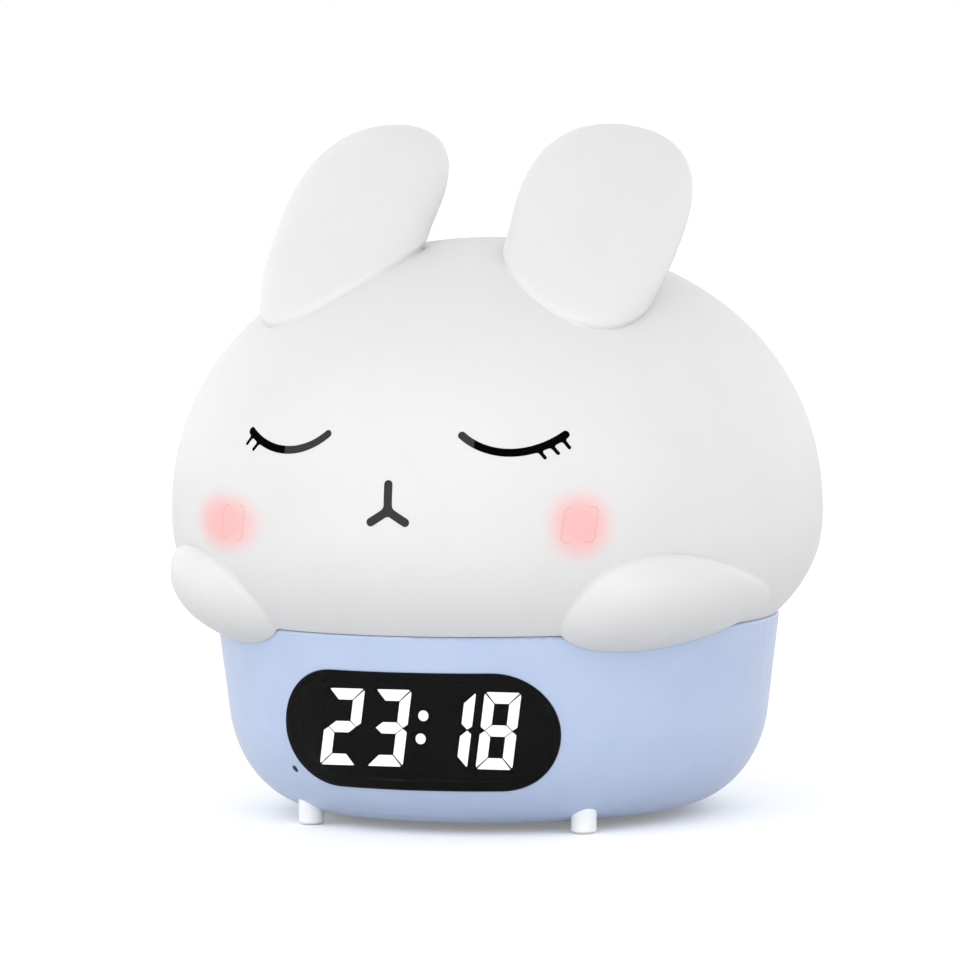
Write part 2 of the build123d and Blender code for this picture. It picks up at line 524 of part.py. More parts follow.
# ------------------------------------------------------------ lamp and dome
LB0 = 41.2
lb = cyl(30.5, (0, 0, LB0), (0, 0, LB0 + BOARD_T))
for x, y in LB_POSTS:
    lb -= cyl(1.2, (x, y, 40), (x, y, 44))
put("light_board", lb)
put("light_board_screws", group([screw((x, y, LB0 + BOARD_T), (x, y, 38.2), 1.9, 1.2, 0.95) for x, y in LB_POSTS]))
leds = []
for i in range(12):
    a = math.radians(30 * i + 15)
    x, y = 19.5 * math.cos(a), 19.5 * math.sin(a)
    leds.append(block(x - 2.5, x + 2.5, y - 2.5, y + 2.5, LB0 + BOARD_T, LB0 + BOARD_T + 1.5))
for x, y in ((0, 0), (7, 0), (-7, 0)):
    leds.append(block(x - 2.5, x + 2.5, y - 2.5, y + 2.5, LB0 + BOARD_T, LB0 + BOARD_T + 1.5))
put("light_leds", group(leds))
flange_z = deck_top + DIFF_T
diff = dome(DIFF_R, DIFF_UP, DIFF_Z, flange_z, 2.0, DIFF_LOW) + cyl(40.2, (0, 0, deck_top + 0.02), (0, 0, flange_z))
diff -= dome(DIFF_R - DIFF_T, DIFF_UP - DIFF_T, DIFF_Z, flange_z - 0.01, 2.0, DIFF_LOW)
diff -= cyl(33.4, (0, 0, 30), (0, 0, flange_z + 0.2))
for x, y in DIFF_PTS:
    diff -= cyl(1.2, (x, y, 30), (x, y, 45)) + cyl(2.2, (x, y, flange_z), (x, y, flange_z + 2.4))
put("light_diffuser", diff)
put("diffuser_screws", group([screw((x, y, flange_z), (x, y, 37.9), 1.9, 1.2, 0.95) for x, y in DIFF_PTS]))

# ------------------------------------------------------------- silicone head
seat = BASE_TOP + 0.12
head = dome(HEAD_R, HEAD_UP, HEAD_Z, seat, HEAD_M, HEAD_LOW)


def ear(side):
    """Superellipsoid: turned outline, flattened, tilted back and out."""
    a, b, c = EAR_SEMI
    tp, tq = EAR_TAPER
    n_ = 20
    pts = []
    for i in range(n_ + 1):
        th = math.pi * i / n_
        s_, c_ = math.sin(th), -math.cos(th)
        rho = (abs(s_) ** EAR_EXP + abs(c_) ** EAR_EXP) ** (-1 / EAR_EXP)
        t = rho * c_
        w = 1 + tp * t + tq * t * t
        pts.append(pt(a * w * rho * s_ if 0 < i < n_ else 0.0, c * t))
    curve = Spline(*pts, tangents=[Vector(1, 0, 0), Vector(-1, 0, 0)])
    e = spin([curve, Line(pts[-1], pts[0])])
    e = scale(e, by=(1, b / a, 1))
    e = Rot(0, 0, EAR_ROT[2]) * e
    e = Rot(0, EAR_ROT[1], 0) * e
    e = Rot(EAR_ROT[0], 0, 0) * e
    e = Pos(*EAR_POS) * e
    return e if side > 0 else mirror(e, about=Plane.YZ)


def paw(side):
    """Tapered superellipsoid: turned outline laid along the rim and flattened."""
    a, b, c = PAW_SEMI
    n_ = 20
    pts = []
    for i in range(n_ + 1):
        th = math.pi * i / n_
        s_, c_ = math.sin(th), -math.cos(th)
        rho = (abs(s_) ** PAW_EXP + abs(c_) ** PAW_EXP) ** (-1 / PAW_EXP)
        t = rho * c_
        w = 1 + PAW_TAPER[0] * t + PAW_TAPER[1] * t * t
        pts.append(pt(b * w * rho * s_ if 0 < i < n_ else 0.0, a * t))
    curve = Spline(*pts, tangents=[Vector(1, 0, 0), Vector(-1, 0, 0)])
    e = Rot(0, 90, 0) * spin([curve, Line(pts[-1], pts[0])])
    e = scale(e, by=(1, 1, c / b))
    e = Rot(0, PAW_ROT[0], 0) * e
    e = Rot(0, 0, PAW_ROT[1]) * e
    e = Rot(PAW_ROT[2], 0, 0) * e
    # tangential, radial and vertical axes of the paw in the clock's frame
    e = Pos(0, PAW_R, 0) * e
    e = mirror(e, about=Plane.XZ)
    e = Rot(0, 0, PAW_ANG) * e
    e = Pos(0, 0, PAW_Z) * e
    return e if side > 0 else mirror(e, about=Plane.YZ)


for side in (1, -1):
    head = head + ear(side)
    head = head + paw(side)
head -= base_solid(-0.12, seat)
head -= dome(HEAD_R - SKIN, HEAD_UP - SKIN, HEAD_Z, seat + LIP_T, HEAD_M, HEAD_LOW - 0.6)
head -= cyl(LIP_R, (0, 0, 30), (0, 0, 50))


def bar2(p, q, w):
    """Flat stadium from p to q."""
    dx, dz = q[0] - p[0], q[1] - p[1]
    return Pos((p[0] + q[0]) / 2, (p[1] + q[1]) / 2) * Rot(0, 0, math.degrees(math.atan2(dz, dx))) * SlotCenterToCenter(math.hypot(dx, dz), w)


def nose_face():
    """Stem and two strokes with round ends, as one closed outline of short straight runs."""
    h, (ex, ez) = NOSE_W / 2, NOSE_END
    turn = math.atan2(ez - NOSE_FORK, ex) + math.pi / 2      # direction square to the stroke, upwards
    cap = lambda x, z, a0, a1, n: [(x + h * math.cos(a0 + (a1 - a0) * i / n), z + h * math.sin(a0 + (a1 - a0) * i / n)) for i in range(n + 1)]
    end = cap(ex, ez, turn, turn - math.pi, 12)
    slope = (ez - NOSE_FORK) / ex
    fork_up = (h, end[0][1] + (h - end[0][0]) * slope)
    fork_low = (0.0, end[-1][1] - end[-1][0] * slope)
    right = cap(0, NOSE_TOP, math.pi / 2, 0, 6) + [fork_up] + end + [fork_low]
    pts = right + [(-x, z) for x, z in right[-2:0:-1]]
    return make_face(Wire([Line(pts[i], pts[(i + 1) % len(pts)]) for i in range(len(pts))]))


lid = SlotArc(CenterArc(EYE_C, EYE_R, EYE_A0, EYE_A1 - EYE_A0), EYE_W)
eye_right = lid + [bar2(p, q, LASH_W) for p, q in LASHES]
eye_left = mirror(lid + [bar2(p, q, LASH_W) for p, q in LASHES[:2]], about=Plane.YZ)
nose = nose_face()
front =Plane(origin=(0, -35, 0), x_dir=(1, 0, 0), z_dir=(0, -1, 0))
band = dome(HEAD_R, HEAD_UP, HEAD_Z, seat, HEAD_M, HEAD_LOW) - dome(HEAD_R - INK_T, HEAD_UP - INK_T, HEAD_Z, seat, HEAD_M, HEAD_LOW - INK_T)
face = [extrude(front * line, amount=40) & band for line in (eye_right, eye_left, nose)]
for line in face:
    head -= line
put("head_skin", head)
put("face_print", group(face))

print(len(written), "nodes")
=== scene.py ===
import bpy
import json
import math
import numpy as np
from mathutils import Matrix, Vector


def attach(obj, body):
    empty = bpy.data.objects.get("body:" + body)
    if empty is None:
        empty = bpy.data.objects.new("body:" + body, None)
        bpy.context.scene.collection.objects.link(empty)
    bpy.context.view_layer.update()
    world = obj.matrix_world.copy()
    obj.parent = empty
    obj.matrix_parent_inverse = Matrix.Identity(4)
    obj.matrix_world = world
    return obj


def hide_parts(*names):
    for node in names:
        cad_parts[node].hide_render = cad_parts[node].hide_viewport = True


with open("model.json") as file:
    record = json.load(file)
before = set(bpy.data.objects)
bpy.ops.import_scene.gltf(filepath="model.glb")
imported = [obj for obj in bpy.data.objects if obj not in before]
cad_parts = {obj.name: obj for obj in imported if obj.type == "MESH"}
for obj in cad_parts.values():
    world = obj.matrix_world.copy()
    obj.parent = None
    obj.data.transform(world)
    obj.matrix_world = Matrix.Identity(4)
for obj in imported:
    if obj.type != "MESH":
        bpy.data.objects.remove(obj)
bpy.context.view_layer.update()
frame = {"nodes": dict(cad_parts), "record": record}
NODES = frame["nodes"]
SLOT_OF = {s["node"]: s["material_slot"] for s in frame["record"]["subparts"]}
MM = 0.001


# =====================================================================
# shapes shared with the CAD part, in millimetres
# =====================================================================
HEAD_R, HEAD_Z, HEAD_UP, HEAD_LOW, HEAD_M = 65.08, 59.90, 54.78, 36.19, 2.162
SKIN, LIP_R, LIP_T = 2.6, 51.2, 2.0
EAR_POS = np.array((25.42, -14.47, 115.52))
EAR_SEMI, EAR_EXP, EAR_TAPER = (16.92, 7.59, 30.29), 2.84, (0.116, -0.062)
EAR_ROT = (-50.07, -1.75, 9.25)
PAW_ANG, PAW_R, PAW_Z = 66.96, 41.72, 47.60
PAW_SEMI, PAW_EXP, PAW_TAPER = (36.01, 21.79, 12.80), 2.268, (-0.156, 0.118)
PAW_ROT = (-1.54, -7.65, 6.85)
BASE_TOP, BASE_R, DRAFT = 39.63, 56.24, 0.1228
SEAT = BASE_TOP + 0.12
CLEAR = 0.12


def rot(axis, deg):
    return np.array(Matrix.Rotation(math.radians(deg), 3, axis))


EAR_M = rot("X", EAR_ROT[0]) @ rot("Y", EAR_ROT[1]) @ rot("Z", EAR_ROT[2])
PAW_M = rot("X", PAW_ROT[2]) @ rot("Z", PAW_ROT[1]) @ rot("Y", PAW_ROT[0])


def smin(a, b, k):
    h = np.clip(k - np.abs(a - b), 0, None) / k
    return np.minimum(a, b) - h * h * k * 0.25


def f_head(x, y, z):
    r = np.hypot(x, y)
    dz = z - HEAD_Z
    c = np.where(dz > 0, HEAD_UP, HEAD_LOW)
    u, w = r / HEAD_R, np.abs(dz) / c
    n = (u ** HEAD_M + w ** HEAD_M + 1e-12) ** (1 / HEAD_M)
    g = np.hypot(u ** (HEAD_M - 1) / HEAD_R, w ** (HEAD_M - 1) / c) * n ** (1 - HEAD_M)
    return (n - 1) / np.maximum(g, 1e-4)


def f_ear(x, y, z):
    q = np.stack([np.abs(x) - EAR_POS[0], y - EAR_POS[1], z - EAR_POS[2]], -1) @ EAR_M
    a, b, c = EAR_SEMI
    t = q[..., 2] / c
    tc = np.clip(t, -1.3, 1.3)
    w = 1 + EAR_TAPER[0] * tc + EAR_TAPER[1] * tc * tc
    sx, sy = q[..., 0] / (a * w), q[..., 1] / (b * w)
    s = np.hypot(sx, sy)
    n = (s ** EAR_EXP + np.abs(t) ** EAR_EXP + 1e-12) ** (1 / EAR_EXP)
    gs = s ** (EAR_EXP - 1) * n ** (1 - EAR_EXP)
    ds = np.hypot(sx / (a * w), sy / (b * w)) / np.maximum(s, 1e-6)
    gt = np.abs(t) ** (EAR_EXP - 1) * n ** (1 - EAR_EXP) / c
    return (n - 1) / np.maximum(np.hypot(gs * ds, gt), 1e-4)


def f_paw(x, y, z):
    th = math.radians(PAW_ANG)
    ax = np.abs(x)
    # along the rim, outwards and up, in the paw's own frame
    q = np.stack([ax * math.cos(th) + y * math.sin(th), ax * math.sin(th) - y * math.cos(th) - PAW_R, z - PAW_Z], -1) @ PAW_M
    a, b, c = PAW_SEMI
    t = q[..., 0] / a
    tc = np.clip(t, -1.3, 1.3)
    w = 1 + PAW_TAPER[0] * tc + PAW_TAPER[1] * tc * tc
    sy, sz = q[..., 1] / (b * w), q[..., 2] / (c * w)
    s = np.hypot(sy, sz)
    n = (s ** PAW_EXP + np.abs(t) ** PAW_EXP + 1e-12) ** (1 / PAW_EXP)
    gs = s ** (PAW_EXP - 1) * n ** (1 - PAW_EXP)
    ds = np.hypot(sy / (b * w), sz / (c * w)) / np.maximum(s, 1e-6)
    gt = np.abs(t) ** (PAW_EXP - 1) * n ** (1 - PAW_EXP) / a
    return (n - 1) / np.maximum(np.hypot(gs * ds, gt), 1e-4)


EAR_BLEND, PAW_BLEND = 0.4, 0.3
EAR_PUFF, PAW_PUFF = (0.45, 0.9), (0.50, 1.0)     # how much and over what rise the edges swell


def joints(x, y, z):
    """How far each point is from being level between the head and an ear or a paw."""
    h = f_head(x, y, z)
    return h - f_ear(x, y, z), h - f_paw(x, y, z)


def puff(h, f, much, rise):
    """Moulded edge: f swells just outside h, so that it meets h steeply, and is itself again higher up."""
    t = np.clip((h - f) / rise, 0, 30)
    return f - much * t * np.exp(1 - t)


def f_skin(x, y, z):
    """Outer surface of the silicone head, about in millimetres, negative inside."""
    h, e, p = f_head(x, y, z), f_ear(x, y, z), f_paw(x, y, z)
    return smin(smin(h, puff(h, e, *EAR_PUFF), EAR_BLEND), puff(h, p, *PAW_PUFF), PAW_BLEND) + 0.012


def f_cut(x, y, z):
    """Clear of the base: negative outside the base's swept space."""
    r = np.hypot(x, y)
    k = math.hypot(1, DRAFT)
    rc = (r - (BASE_R - DRAFT * (BASE_TOP - z))) / k - CLEAR
    return np.minimum(-(z - SEAT), -rc)


def grad(f, p, h=0.01):
    x, y, z = p.T
    return np.stack([f(x + h, y, z) - f(x - h, y, z), f(x, y + h, z) - f(x, y - h, z), f(x, y, z + h) - f(x, y, z - h)], -1) / (2 * h)


def settle(p, n=4):
    """Newton steps on to the outer surface."""
    for _ in range(n):
        g = grad(f_skin, p)
        p = p - g * (f_skin(*p.T) / np.maximum((g * g).sum(1), 1e-6))[:, None]
    return p


def settle_edge(p, n=6):
    """Newton steps on to the edge between the outer surface and the cut."""
    for _ in range(n):
        g1, g2 = grad(f_skin, p), grad(f_cut, p)
        a, b, c = (g1 * g1).sum(1), (g1 * g2).sum(1), (g2 * g2).sum(1)
        f1, f2 = f_skin(*p.T), f_cut(*p.T)
        det = np.maximum(a * c - b * b, 1e-6)
        l1, l2 = (c * f1 - b * f2) / det, (a * f2 - b * f1) / det
        step = g1 * l1[:, None] + g2 * l2[:, None]
        ln = np.linalg.norm(step, axis=1)
        p = p - step * np.minimum(1, 0.6 / np.maximum(ln, 1e-9))[:, None]
    return p


def surface_nets(F, org, h):
    """Quads where F changes sign, one point in each mixed cell."""
    S = F < 0
    nx, ny, nz = F.shape
    pos = np.zeros((nx - 1, ny - 1, nz - 1, 3), np.float32)
    cnt = np.zeros((nx - 1, ny - 1, nz - 1), np.float32)
    crossing = []
    for ax in range(3):
        a = [slice(None)] * 3
        b = [slice(None)] * 3
        a[ax], b[ax] = slice(0, -1), slice(1, None)
        A, B = F[tuple(a)], F[tuple(b)]
        m = S[tuple(a)] != S[tuple(b)]
        crossing.append(m)
        with np.errstate(divide="ignore", invalid="ignore"):
            t = np.where(m, A / (A - B), 0)
        o1, o2 = [i for i in range(3) if i != ax]
        for j in (0, 1):
            for k in (0, 1):
                sl = [slice(None)] * 3
                sl[o1] = slice(j, F.shape[o1] - 1 + j)
                sl[o2] = slice(k, F.shape[o2] - 1 + k)
                mm, tt = m[tuple(sl)], t[tuple(sl)]
                cnt += mm
                pos[..., ax] += np.where(mm, tt, 0)
                pos[..., o1] += mm * j
                pos[..., o2] += mm * k
    act = cnt > 0
    idx = np.full(act.shape, -1, np.int64)
    idx[act] = np.arange(act.sum())
    cell = np.argwhere(act)
    p = (cell + pos[act] / cnt[act][:, None]) * h + org
    quads = []
    for ax in range(3):
        m = crossing[ax].copy()
        o1, o2 = [(1, 2), (2, 0), (0, 1)][ax]
        e = np.argwhere(m)
        keep = (e[:, o1] > 0) & (e[:, o2] > 0) & (e[:, o1] < F.shape[o1] - 1) & (e[:, o2] < F.shape[o2] - 1)
        e = e[keep]
        ring = []
        for d1, d2 in ((-1, -1), (0, -1), (0, 0), (-1, 0)):
            c = e.copy()
            c[:, o1] += d1
            c[:, o2] += d2
            ring.append(idx[c[:, 0], c[:, 1], c[:, 2]])
        q = np.stack(ring, 1)
        inside = S[e[:, 0], e[:, 1], e[:, 2]]
        quads.append(np.where(inside[:, None], q, q[:, ::-1]))
    return p, np.concatenate(quads)


def new_mesh(name, verts, faces, mat, smooth=True):
    """verts in millimetres."""
    me = bpy.data.meshes.new(name)
    me.from_pydata((np.asarray(verts, float) * MM).tolist(), [], faces)
    me.update()
    if smooth:
        me.shade_smooth()
    ob = bpy.data.objects.new(name, me)
    bpy.context.scene.collection.objects.link(ob)
    if mat:
        me.materials.append(mat)
    return ob


def refine(p, faces, mark):
    """Split the marked quads in four; their neighbours take the new points into their outlines."""
    p = list(p)
    mid = {}

    def point(a, b):
        k = (a, b) if a < b else (b, a)
        if k not in mid:
            mid[k] = len(p)
            p.append((p[a] + p[b]) / 2)
        return mid[k]

    out, rest = [], []
    for f, m in zip(faces, mark):
        if not m or len(f) != 4:
            rest.append(f)
            continue
        a, b, c, d = f
        ab, bc, cd, da = point(a, b), point(b, c), point(c, d), point(d, a)
        o = len(p)
        p.append((p[a] + p[b] + p[c] + p[d]) / 4)
        out += [[a, ab, o, da], [ab, b, bc, o], [o, bc, c, cd], [da, o, cd, d]]
    for f in rest:
        g = []
        for i, a in enumerate(f):
            b = f[(i + 1) % len(f)]
            g.append(a)
            k = (a, b) if a < b else (b, a)
            if k in mid:
                g.append(mid[k])
        out.append(g)
    return np.array(p), out


def relax(p, faces, fixed, rounds):
    """Even out the points along the surface."""
    e = np.array([(f[i], f[(i + 1) % len(f)]) for f in faces for i in range(len(f))])
    num = np.bincount(e[:, 0], minlength=len(p)) + np.bincount(e[:, 1], minlength=len(p))
    num = np.maximum(num, 1)
    for _ in range(rounds):
        mean = np.stack([(np.bincount(e[:, 0], p[e[:, 1], i], len(p)) + np.bincount(e[:, 1], p[e[:, 0], i], len(p))) / num for i in range(3)], 1)
        p[~fixed] = settle(p[~fixed] * 0.4 + mean[~fixed] * 0.6, 2)
    return p


def clip_faces(p, faces, c):
    """Cut the faces along c = 0, keep the negative side; the new points sit on the cut's edge."""
    p = list(p)
    c = list(c)
    made = {}
    out = []
    for f in faces:
        v = [c[i] for i in f]
        if max(v) <= 0:
            if min(v) < 0:
                out.append(list(f))
            continue
        if min(v) >= 0:
            continue
        g = []
        for i, a in enumerate(f):
            b = f[(i + 1) % len(f)]
            if c[a] <= 0:
                g.append(a)
            if c[a] * c[b] < 0:
                k = (a, b) if a < b else (b, a)
                if k not in made:
                    t = c[k[0]] / (c[k[0]] - c[k[1]])
                    made[k] = len(p)
                    p.append(p[k[0]] * (1 - t) + p[k[1]] * t)
                g.append(made[k])
        if len(g) > 2:
            out.append(g)
    new = np.array(sorted(made.values()), int)
    p = np.array(p)
    if len(new):
        p[new] = settle_edge(p[new])
    return p, out, new


def head_mesh(mat):
    h = 0.8
    nx = int(70.4 / h)
    xs = (np.arange(nx) + 0.5) * h
    ny = int(134.4 / h) + 1
    ys = (np.arange(ny) - (ny - 1) / 2) * h
    zs = np.arange(31.3, 138.6, h)
    X, Y, Z = np.meshgrid(xs, ys, zs, indexing="ij")
    F = f_skin(X, Y, Z)
    F = np.concatenate([F[::-1], F])
    org = np.array([-xs[-1], ys[0], zs[0]])
    p, q = surface_nets(F, org, h)
    p = p.astype(float)
    # leave out what lies deep inside the base
    q = q[(f_cut(*p[q].mean(1).T) < 3 * h) & (p[q][:, :, 2].min(1) > zs[0] + 0.5 * h)]
    used, inv = np.unique(q, return_inverse=True)
    p, q = settle(p[used]), inv.reshape(-1, 4)
    none = np.zeros(len(p), bool)
    faces = q.tolist()
    p = relax(p, faces, none, 4)
    # finer quads along the creases and along the cut
    for width, level in ((2.4, 0), (1.1, 1)):
        quads = np.array([f if len(f) == 4 else f[:4] for f in faces])
        cen = p[quads].mean(1)
        j1, j2 = joints(*cen.T)
        near = (np.abs(j1) < width) | (np.abs(j2) < width)
        if level == 0:
            near |= np.abs(f_cut(*cen.T)) < 1.2
        p, faces = refine(p, faces, near)
        p = settle(p, 3)
        used = np.zeros(len(p), bool)
        p = relax(p, faces, used, 2)
    c = f_cut(*p.T)
    near = np.abs(c) < 0.1 * h
    p[near] = settle_edge(p[near])
    c[near] = 0.0
    p, faces, new = clip_faces(p, faces, c)
    used = np.unique(np.concatenate([np.array(f) for f in faces]))
    inv = np.full(len(p), -1)
    inv[used] = np.arange(len(used))
    p = p[used]
    faces = [[int(inv[i]) for i in f] for f in faces]
    key = {(f[i], f[(i + 1) % len(f)]) for f in faces for i in range(len(f))}
    border = [(a_, b_) for a_, b_ in key if (b_, a_) not in key]
    nxt = dict(border)
    # walk the longest border once, counter-clockwise
    left, chain = set(nxt), []
    while left:
        walk = [min(left)]
        while nxt[walk[-1]] != walk[0]:
            walk.append(nxt[walk[-1]])
        left -= set(walk)
        if len(walk) > len(chain):
            chain = walk
    a_ = [math.atan2(p[i, 1], p[i, 0]) for i in chain]
    if sum(math.sin(a_[(i + 1) % len(a_)] - a_[i]) for i in range(len(a_))) < 0:
        chain = chain[::-1]
    # the cut: up the wall of the base under the paws, then level to a ring
    R0, RC = 54.4, BASE_R + CLEAR * math.hypot(1, DRAFT) + DRAFT * (SEAT - BASE_TOP)
    extra, corner, ring_ = [], [], []
    for i in chain:
        r_ = math.hypot(p[i, 0], p[i, 1])
        if p[i, 2] < SEAT - 0.02:
            corner.append(len(p) + len(extra))
            extra.append((p[i, 0] * RC / r_, p[i, 1] * RC / r_, SEAT))
        else:
            p[i, 2] = SEAT
            corner.append(i)
    for i in chain:
        r_ = math.hypot(p[i, 0], p[i, 1])
        ring_.append(len(p) + len(extra))
        extra.append((p[i, 0] * R0 / r_, p[i, 1] * R0 / r_, SEAT))
    p = np.concatenate([p, np.array(extra)])
    n_skin = len(faces)
    for i in range(len(chain)):
        j = (i + 1) % len(chain)
        wall = [chain[i], corner[i], corner[j], chain[j]]
        wall = [v for k_, v in enumerate(wall) if v not in wall[:k_]]
        if len(wall) > 2:
            faces.append(wall)
    n_wall = len(faces)
    for i in range(len(chain)):
        j = (i + 1) % len(chain)
        faces.append([corner[i], ring_[i], ring_[j], corner[j]])
    chain = ring_
    n = 192
    ang = [2 * math.pi * i / n for i in range(n)]
    prof = [(53.2, SEAT), (LIP_R + 0.35, SEAT), (LIP_R + 0.1, SEAT + 0.1), (LIP_R, SEAT + 0.35), (LIP_R, SEAT + LIP_T - 0.3), (LIP_R + 0.3, SEAT + LIP_T)]
    Ri, Ui, Li = HEAD_R - SKIN, HEAD_UP - SKIN, HEAD_LOW - 0.6
    z0 = SEAT + LIP_T
    ph0 = math.asin(((HEAD_Z - z0) / Li) ** (HEAD_M / 2))
    for i in range(41):
        ph = -ph0 + (math.pi / 2 + ph0) * i / 41
        c_, s_ = math.cos(ph), math.sin(ph)
        prof.append((Ri * c_ ** (2 / HEAD_M), HEAD_Z + (Ui * s_ ** (2 / HEAD_M) if s_ >= 0 else -Li * (-s_) ** (2 / HEAD_M))))
    base = len(p)
    rows = np.array([[(r_ * math.cos(a_), r_ * math.sin(a_), z_) for a_ in ang] for r_, z_ in prof]).reshape(-1, 3)
    top = base + len(rows)
    verts = np.concatenate([p, rows, [[0, 0, HEAD_Z + Ui]]])
    # stitch the border to the first ring by angle; seen from below, outwards is -Z
    A = [math.atan2(p[i, 1], p[i, 0]) % (2 * math.pi) for i in chain]
    s0 = int(np.argmin(A))
    chain = chain[s0:] + chain[:s0]
    A = A[s0:] + A[:s0]
    i = j = 0
    m = len(chain)
    while i < m or j < n:
        ai = A[(i + 1) % m] + (2 * math.pi if i + 1 >= m else 0)
        aj = ang[(j + 1) % n] + (2 * math.pi if j + 1 >= n else 0)
        if j >= n or (i < m and ai <= aj):
            faces.append([chain[i % m], base + j % n, chain[(i + 1) % m]])
            i += 1
        else:
            faces.append([chain[i % m], base + j % n, base + (j + 1) % n])
            j += 1
    for k in range(len(prof) - 1):
        for j in range(n):
            a_, b_ = base + k * n + j, base + k * n + (j + 1) % n
            faces.append([a_, a_ + n, b_ + n, b_])
    last = base + (len(prof) - 1) * n
    for j in range(n):
        faces.append([last + j, top, last + (j + 1) % n])
    ob = new_mesh("head_silicone", verts, faces, mat)
    me = ob.data
    # exact normals: the skin's own on its faces, creased at the cut
    ns = grad(f_skin, verts)
    ns /= np.maximum(np.linalg.norm(ns, axis=1), 1e-9)[:, None]
    nw = np.stack([-verts[:, 0], -verts[:, 1], DRAFT * np.hypot(verts[:, 0], verts[:, 1])], 1)
    nw /= np.maximum(np.linalg.norm(nw, axis=1), 1e-9)[:, None]
    vn = np.zeros(len(me.vertices) * 3, np.float32)
    me.vertices.foreach_get("normal", vn)
    vn = vn.reshape(-1, 3)
    li = np.zeros(len(me.loops), np.int32)
    me.loops.foreach_get("vertex_index", li)
    l1 = sum(len(f) for f in faces[:n_skin])
    l2 = l1 + sum(len(f) for f in faces[n_skin:n_wall])
    loops = np.zeros((len(me.loops), 3), np.float32)
    loops[:l1] = ns[li[:l1]]
    loops[l1:l2] = nw[li[l1:l2]]
    rest = li[l2:]
    loops[l2:] = vn[rest]
    flat = np.abs(verts[rest, 2] - SEAT) < 1e-3
    loops[l2:][flat] = (0, 0, -1)
    me.normals_split_custom_set(loops.tolist())
    return ob


# =====================================================================
# printed face: thin ink shapes that lie on the skin
# =====================================================================
def head_y(x, z):
    """Front surface of the head at x, z."""
    dz = z - HEAD_Z
    c = np.where(dz > 0, HEAD_UP, HEAD_LOW)
    r = HEAD_R * np.clip(1 - (np.abs(dz) / c) ** HEAD_M, 0, 1) ** (1 / HEAD_M)
    return -np.sqrt(np.maximum(r * r - x * x, 0))


def on_head(x, z):
    x, z = np.asarray(x, float), np.asarray(z, float)
    return np.stack([x, head_y(x, z), z], -1)


def stroke(points, radius):
    return on_head(*np.array(points, float).T), radius


def ink(name, strokes, step, blend, mat, top=0.035, deep=0.25):
    """A closed thin piece that covers every point within a stroke's radius of its line."""
    pts = np.concatenate([s[0] for s in strokes])
    rmax = max(s[1] for s in strokes) + 2 * step
    x0, x1 = pts[:, 0].min() - rmax, pts[:, 0].max() + rmax
    z0, z1 = pts[:, 2].min() - rmax, pts[:, 2].max() + rmax

    def dist(x, z):
        P = on_head(x, z)
        d = None
        for line, r in strokes:
            best = np.full(P.shape[:-1], 1e9)
            for a, b in zip(line[:-1], line[1:]):
                ab = b - a
                t = np.clip(((P - a) @ ab) / (ab @ ab), 0, 1)
                best = np.minimum(best, np.linalg.norm(P - (a + t[..., None] * ab), axis=-1))
            best = best - r
            d = best if d is None else smin(d, best, blend)
        return d

    xs = np.arange(x0, x1, step)
    zs = np.arange(z0, z1, step)
    X, Z = np.meshgrid(xs, zs, indexing="ij")
    cx, cz = (X[:-1, :-1] + step / 2), (Z[:-1, :-1] + step / 2)
    on = dist(cx, cz) < 0
    ii, jj = np.nonzero(on)
    nz = len(zs)
    quad = np.stack([ii * nz + jj, (ii + 1) * nz + jj, (ii + 1) * nz + jj + 1, ii * nz + jj + 1], 1)
    used, inv = np.unique(quad, return_inverse=True)
    quad = inv.reshape(-1, 4)
    x, z = X.reshape(-1)[used].copy(), Z.reshape(-1)[used].copy()
    he = np.concatenate([quad[:, [0, 1]], quad[:, [1, 2]], quad[:, [2, 3]], quad[:, [3, 0]]])
    key = set(map(tuple, he.tolist()))
    border = [(a, b) for a, b in key if (b, a) not in key]
    bset = np.array(sorted({v for e_ in border for v in e_}))
    nb = dict(border)
    prev = {b: a for a, b in border}
    for it in range(6):
        # border points slide to the outline and spread evenly along it
        bx, bz = x[bset], z[bset]
        for _ in range(2):
            d = dist(bx, bz)
            h = 0.01
            gx = (dist(bx + h, bz) - dist(bx - h, bz)) / (2 * h)
            gz = (dist(bx, bz + h) - dist(bx, bz - h)) / (2 * h)
            k = d / np.maximum(gx * gx + gz * gz, 0.2)
            bx, bz = bx - gx * k, bz - gz * k
        x[bset], z[bset] = bx, bz
        if it < 5:
            mx = np.array([(x[nb[i]] + x[prev[i]]) / 2 for i in bset])
            mz = np.array([(z[nb[i]] + z[prev[i]]) / 2 for i in bset])
            x[bset], z[bset] = x[bset] * 0.5 + mx * 0.5, z[bset] * 0.5 + mz * 0.5
    inside = np.setdiff1d(np.arange(len(x)), bset)
    for _ in range(3):
        sx = np.bincount(he[:, 0], x[he[:, 1]], len(x)) + np.bincount(he[:, 1], x[he[:, 0]], len(x))
        sz = np.bincount(he[:, 0], z[he[:, 1]], len(x)) + np.bincount(he[:, 1], z[he[:, 0]], len(x))
        c = np.bincount(he[:, 0], minlength=len(x)) + np.bincount(he[:, 1], minlength=len(x))
        x[inside], z[inside] = (sx / c)[inside], (sz / c)[inside]
    P = on_head(x, z)
    nrm = grad(f_head, P)
    nrm /= np.linalg.norm(nrm, axis=1)[:, None]
    lift = np.full(len(P), top)
    lift[bset] = top * 0.4
    up = P + nrm * lift[:, None]
    dn = P - nrm * deep
    n = len(P)
    # x to the right and z up, seen from the front, run counter-clockwise
    faces = quad.tolist() + (quad[:, ::-1] + n).tolist()
    faces += [[b, a, a + n, b + n] for a, b in border]
    return new_mesh(name, np.concatenate([up, dn]), faces, mat)


